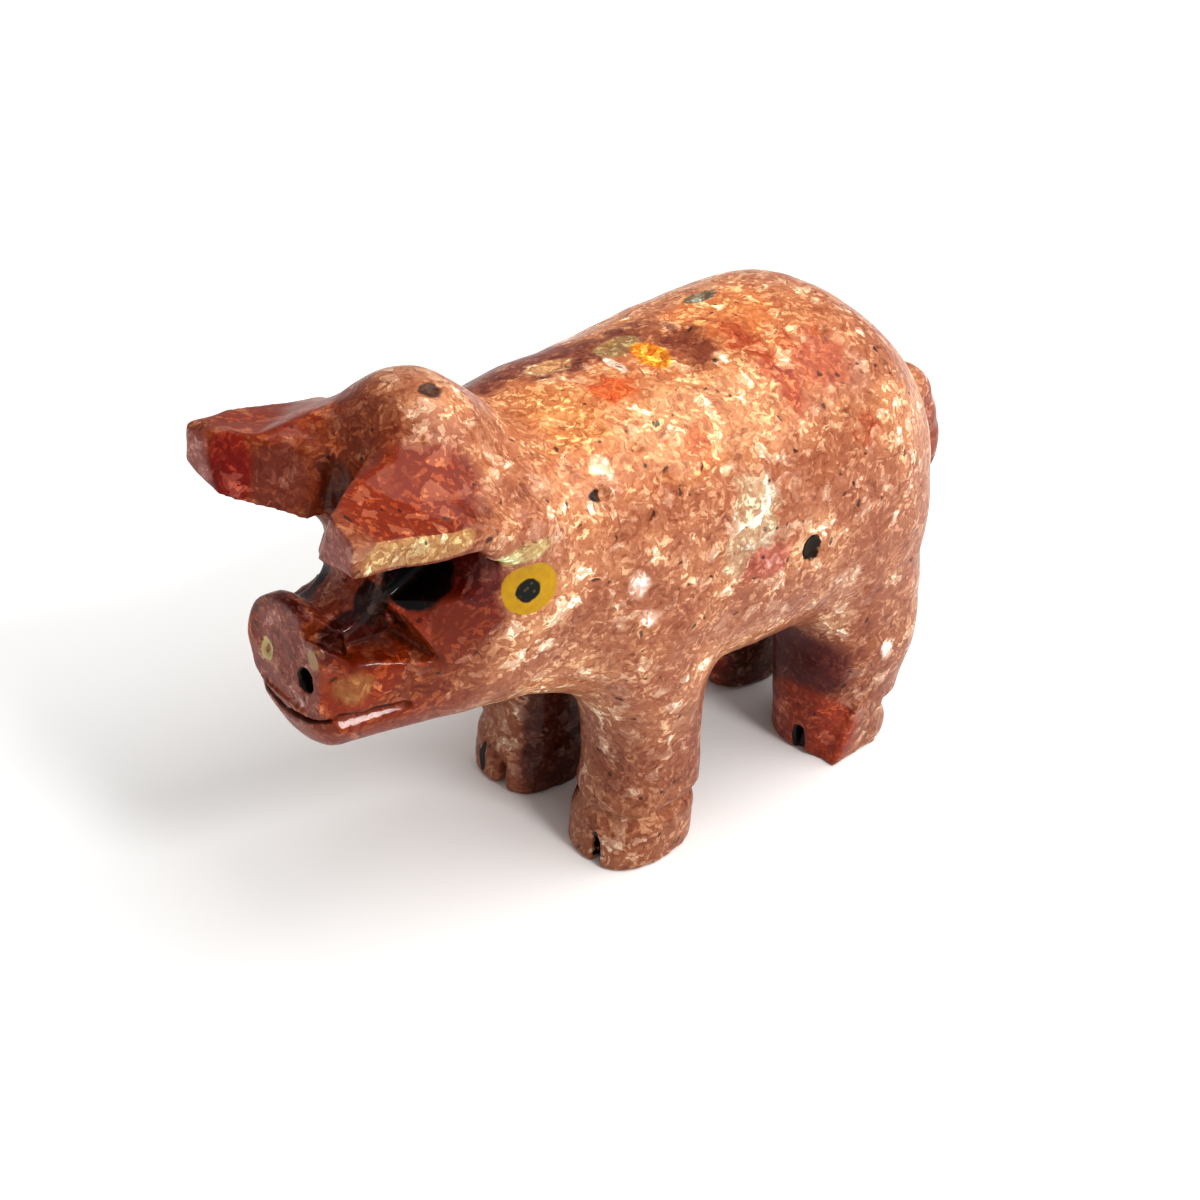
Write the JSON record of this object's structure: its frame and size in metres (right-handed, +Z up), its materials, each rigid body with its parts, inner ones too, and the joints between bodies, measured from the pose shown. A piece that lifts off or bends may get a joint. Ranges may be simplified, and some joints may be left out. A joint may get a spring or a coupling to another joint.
{
  "type": "stone animal fetish",
  "caption": "Small standing pig carved from one block of pink soapstone, with forward ears, a slit mouth, a flat nose pad and short legs, standing on flat soles.",
  "frame": {"origin": "middle of the footprint of the box around the pig, on the ground that the soles stand on", "axes": "+Z up, -Y the way the pig looks, +X its left side"},
  "size_m": [0.0164, 0.04, 0.0281],
  "materials": {
    "soapstone": "waxed and polished, pink and red with cream and ochre grains"
  },
  "bodies": {
    "root": {"stone_pig": "soapstone"}
  },
  "joints": []
}
